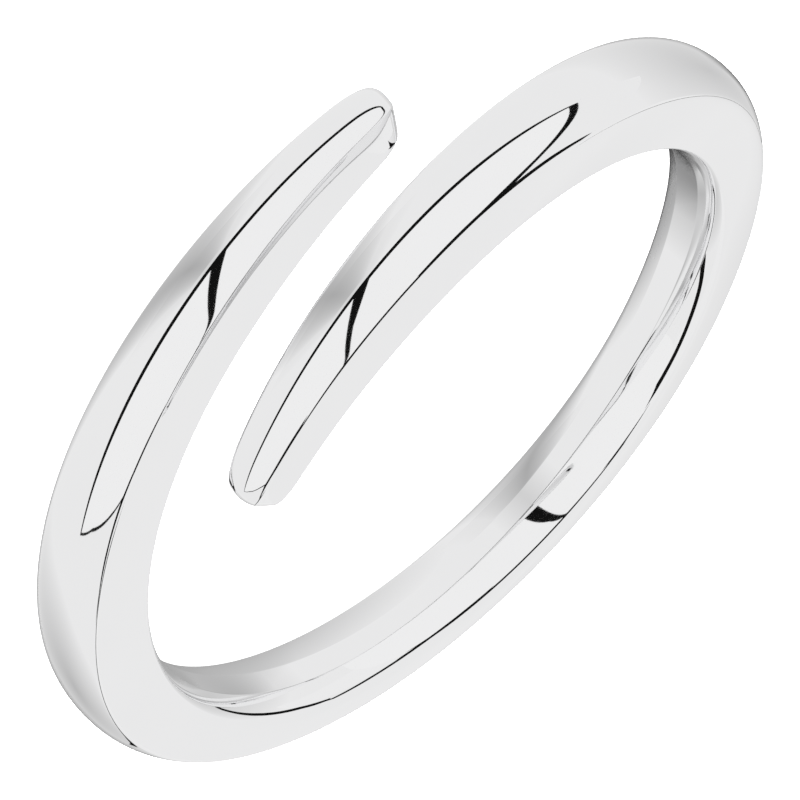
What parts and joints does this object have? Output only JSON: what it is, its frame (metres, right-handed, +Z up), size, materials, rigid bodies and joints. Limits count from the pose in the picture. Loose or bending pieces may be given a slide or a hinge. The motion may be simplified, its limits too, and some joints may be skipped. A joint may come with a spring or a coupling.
{
  "type": "open bypass ring",
  "caption": "Plain polished open ring whose two tapered arms pass each other at the front, with a crowned outside, flat side walls and a flat inside with rounded corners.",
  "frame": {"origin": "on the surface that the ring lies on, under the middle of its box", "axes": "+Z up from that surface, within 6 degrees of the axis of the finger hole; +Y from the arms' tips at the front to the middle of the shank at the back; +X to the right seen from the front"},
  "size_m": [0.0212, 0.0208, 0.0053],
  "materials": {
    "polished_silver": "mirror-polished silver"
  },
  "bodies": {
    "root": {"ring_band": "polished_silver"}
  },
  "joints": []
}
